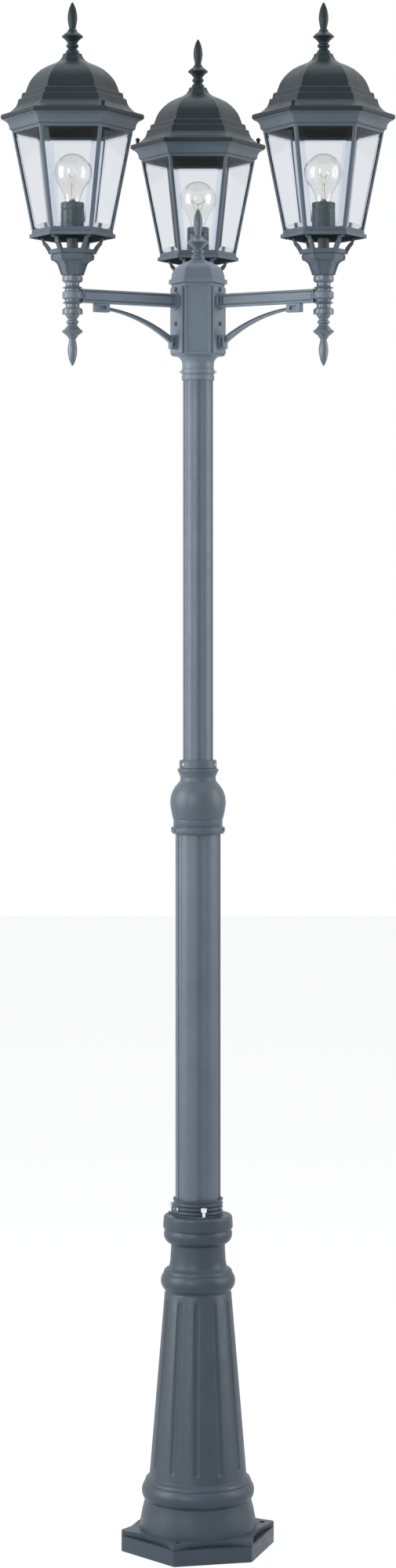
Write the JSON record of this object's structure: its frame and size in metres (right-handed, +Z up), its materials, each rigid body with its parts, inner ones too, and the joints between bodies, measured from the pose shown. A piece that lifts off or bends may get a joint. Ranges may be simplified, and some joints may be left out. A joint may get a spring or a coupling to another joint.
{
  "type": "triple head lamp post",
  "caption": "Garden lamp post: hollow cast base, two-stage grooved post and hexagonal hub whose curved-braced arms carry hexagonal glass lanterns with lift-off roofs.",
  "frame": {"origin": "on the ground under the post's axis, at the centre of the anchor bolt circle", "axes": "+Z up along the post; -Y towards the viewer of the picture, with one lantern behind the post on +Y and the other two to the front left and front right"},
  "size_m": [0.6514, 0.5642, 2.5818],
  "materials": {
    "casting_coat": "dark slate powder coat on cast aluminium",
    "tube_coat": "slate blue powder coat on aluminium tube",
    "roof_coat": "dark green-grey powder coat on cast aluminium",
    "nipple_coat": "dark zinc",
    "zinc_screw": "bright zinc",
    "dark_screw": "black zinc",
    "pane_glass": "clear bevelled glass",
    "bulb_glass": "clear glass",
    "bulb_brass": "nickelled brass",
    "shell_brass": "brass",
    "holder_plastic": "black phenolic",
    "lead_insulation": "black insulation",
    "connector_plastic": "orange plastic"
  },
  "bodies": {
    "pole": {"arm_screws": "dark_screw", "base_casting": "casting_coat", "cap_stud": "zinc_screw", "flange_bolts": "zinc_screw", "hub_body": "casting_coat", "hub_cap": "casting_coat", "hub_finial": "casting_coat", "lamp_leads": "lead_insulation", "lamp_nipples": "nipple_coat", "left_arm": "casting_coat", "left_brace": "casting_coat", "left_cage": "casting_coat", "left_cradle": "casting_coat", "left_glass_panes": "pane_glass", "left_lampholder": "holder_plastic", "left_stem_collars": "casting_coat", "left_stem_finial": "casting_coat", "lower_post": "tube_coat", "post_coupling": "casting_coat", "post_socket": "casting_coat", "rear_arm": "casting_coat", "rear_brace": "casting_coat", "rear_cage": "casting_coat", "rear_cradle": "casting_coat", "rear_glass_panes": "pane_glass", "rear_lampholder": "holder_plastic", "rear_stem_collars": "casting_coat", "rear_stem_finial": "casting_coat", "right_arm": "casting_coat", "right_brace": "casting_coat", "right_cage": "casting_coat", "right_cradle": "casting_coat", "right_glass_panes": "pane_glass", "right_lampholder": "holder_plastic", "right_stem_collars": "casting_coat", "right_stem_finial": "casting_coat", "screw_shells": "shell_brass", "set_screws": "zinc_screw", "supply_cable": "lead_insulation", "tray_screws": "dark_screw", "upper_post": "tube_coat", "wire_connectors": "connector_plastic"},
    "left_roof_body": {"left_roof": "roof_coat", "left_roof_finial": "roof_coat"},
    "left_screw_a_body": {"left_thumb_screw_a": "dark_screw"},
    "left_screw_b_body": {"left_thumb_screw_b": "dark_screw"},
    "left_bulb_body": {"left_bulb_glass": "bulb_glass", "left_bulb_cap": "bulb_brass"},
    "right_roof_body": {"right_roof": "roof_coat", "right_roof_finial": "roof_coat"},
    "right_screw_a_body": {"right_thumb_screw_a": "dark_screw"},
    "right_screw_b_body": {"right_thumb_screw_b": "dark_screw"},
    "right_bulb_body": {"right_bulb_glass": "bulb_glass", "right_bulb_cap": "bulb_brass"},
    "rear_roof_body": {"rear_roof": "roof_coat", "rear_roof_finial": "roof_coat"},
    "rear_screw_a_body": {"rear_thumb_screw_a": "dark_screw"},
    "rear_screw_b_body": {"rear_thumb_screw_b": "dark_screw"},
    "rear_bulb_body": {"rear_bulb_glass": "bulb_glass", "rear_bulb_cap": "bulb_brass"}
  },
  "joints": [
    {"name": "left_roof_lift", "type": "slide", "parent": "pole", "child": "left_roof_body", "axis": [0, 0, 1], "range_m": [0, 0.15]},
    {"name": "left_thumb_screw_a_turn", "type": "hinge", "parent": "left_roof_body", "child": "left_screw_a_body", "pos_m": [-0.15424, -0.21145, 2.4], "axis": [0, 0, 1], "continuous": true},
    {"name": "left_thumb_screw_b_turn", "type": "hinge", "parent": "left_roof_body", "child": "left_screw_b_body", "pos_m": [-0.26024, -0.02785, 2.4], "axis": [0, 0, 1], "continuous": true},
    {"name": "left_bulb_out", "type": "slide", "parent": "pole", "child": "left_bulb_body", "axis": [0, 0, 1], "range_m": [0, 0.03]},
    {"name": "right_roof_lift", "type": "slide", "parent": "pole", "child": "right_roof_body", "axis": [0, 0, 1], "range_m": [0, 0.15]},
    {"name": "right_thumb_screw_a_turn", "type": "hinge", "parent": "right_roof_body", "child": "right_screw_a_body", "pos_m": [0.26024, -0.02785, 2.4], "axis": [0, 0, 1], "continuous": true},
    {"name": "right_thumb_screw_b_turn", "type": "hinge", "parent": "right_roof_body", "child": "right_screw_b_body", "pos_m": [0.15424, -0.21145, 2.4], "axis": [0, 0, 1], "continuous": true},
    {"name": "right_bulb_out", "type": "slide", "parent": "pole", "child": "right_bulb_body", "axis": [0, 0, 1], "range_m": [0, 0.03]},
    {"name": "rear_roof_lift", "type": "slide", "parent": "pole", "child": "rear_roof_body", "axis": [0, 0, 1], "range_m": [0, 0.15]},
    {"name": "rear_thumb_screw_a_turn", "type": "hinge", "parent": "rear_roof_body", "child": "rear_screw_a_body", "pos_m": [-0.106, 0.2393, 2.4], "axis": [0, 0, 1], "continuous": true},
    {"name": "rear_thumb_screw_b_turn", "type": "hinge", "parent": "rear_roof_body", "child": "rear_screw_b_body", "pos_m": [0.106, 0.2393, 2.4], "axis": [0, 0, 1], "continuous": true},
    {"name": "rear_bulb_out", "type": "slide", "parent": "pole", "child": "rear_bulb_body", "axis": [0, 0, 1], "range_m": [0, 0.03]}
  ]
}
